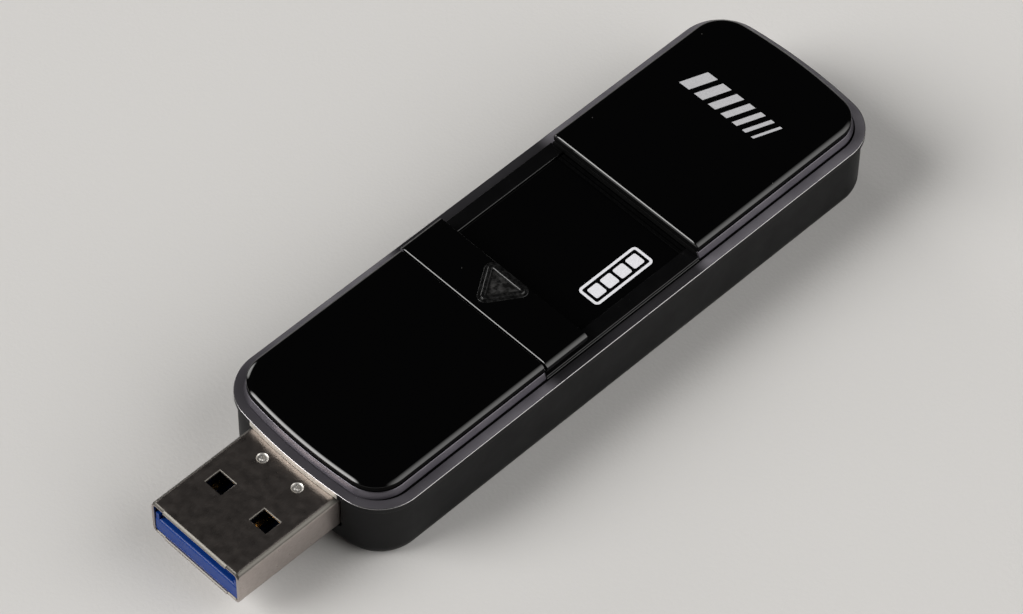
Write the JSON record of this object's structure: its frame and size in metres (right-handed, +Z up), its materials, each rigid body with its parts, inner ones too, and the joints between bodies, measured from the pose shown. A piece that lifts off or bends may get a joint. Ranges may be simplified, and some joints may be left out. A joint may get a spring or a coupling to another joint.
{
  "type": "usb flash drive",
  "caption": "Slim flash drive whose type A plug slides in and out of a black rounded body, moved by a flush thumb pad with a raised arrow.",
  "frame": {"origin": "centre of the body's flat underside", "axes": "+Y from the plug towards the closed end, +Z up out of the covers, +X across the body; shown with the plug pushed out"},
  "size_m": [0.0228, 0.0827, 0.0105],
  "materials": {
    "gloss_black": "polished piano black with a little dust",
    "satin_graphite": "satin graphite with small chips along the edge",
    "moulded_black": "fine moulded texture",
    "dark_grey": "satin",
    "plug_steel": "fine rolled grain",
    "plug_blue": "moulded",
    "gold_plate": "bright plated",
    "board_green": "solder mask",
    "chip_black": "moulded epoxy",
    "can_metal": "bright",
    "ceramic_tan": "fired ceramic"
  },
  "bodies": {
    "housing": {"bottom_shell": "moulded_black", "rim_frame": "satin_graphite", "left_rail": "dark_grey", "right_rail": "dark_grey", "front_band": "satin_graphite", "rear_band": "satin_graphite", "front_cover": "gloss_black", "rear_cover": "gloss_black"},
    "slider": {"slider_plate": "gloss_black", "thumb_pad": "gloss_black", "sled": "moulded_black", "left_detent_spring": "can_metal", "right_detent_spring": "can_metal", "plug_shell": "plug_steel", "plug_insulator": "plug_blue", "flat_contact_1": "gold_plate", "flat_contact_2": "gold_plate", "flat_contact_3": "gold_plate", "flat_contact_4": "gold_plate", "sprung_contact_1": "gold_plate", "sprung_contact_2": "gold_plate", "sprung_contact_3": "gold_plate", "sprung_contact_4": "gold_plate", "sprung_contact_5": "gold_plate", "circuit_board": "board_green", "controller_chip": "chip_black", "flash_chip": "chip_black", "crystal": "can_metal", "power_coil": "dark_grey", "capacitor_1": "ceramic_tan", "capacitor_2": "ceramic_tan", "capacitor_3": "ceramic_tan", "capacitor_4": "ceramic_tan"}
  },
  "joints": [
    {"name": "plug_slide", "type": "slide", "parent": "housing", "child": "slider", "axis": [0, 1, 0], "range_m": [0, 0.015]}
  ]
}
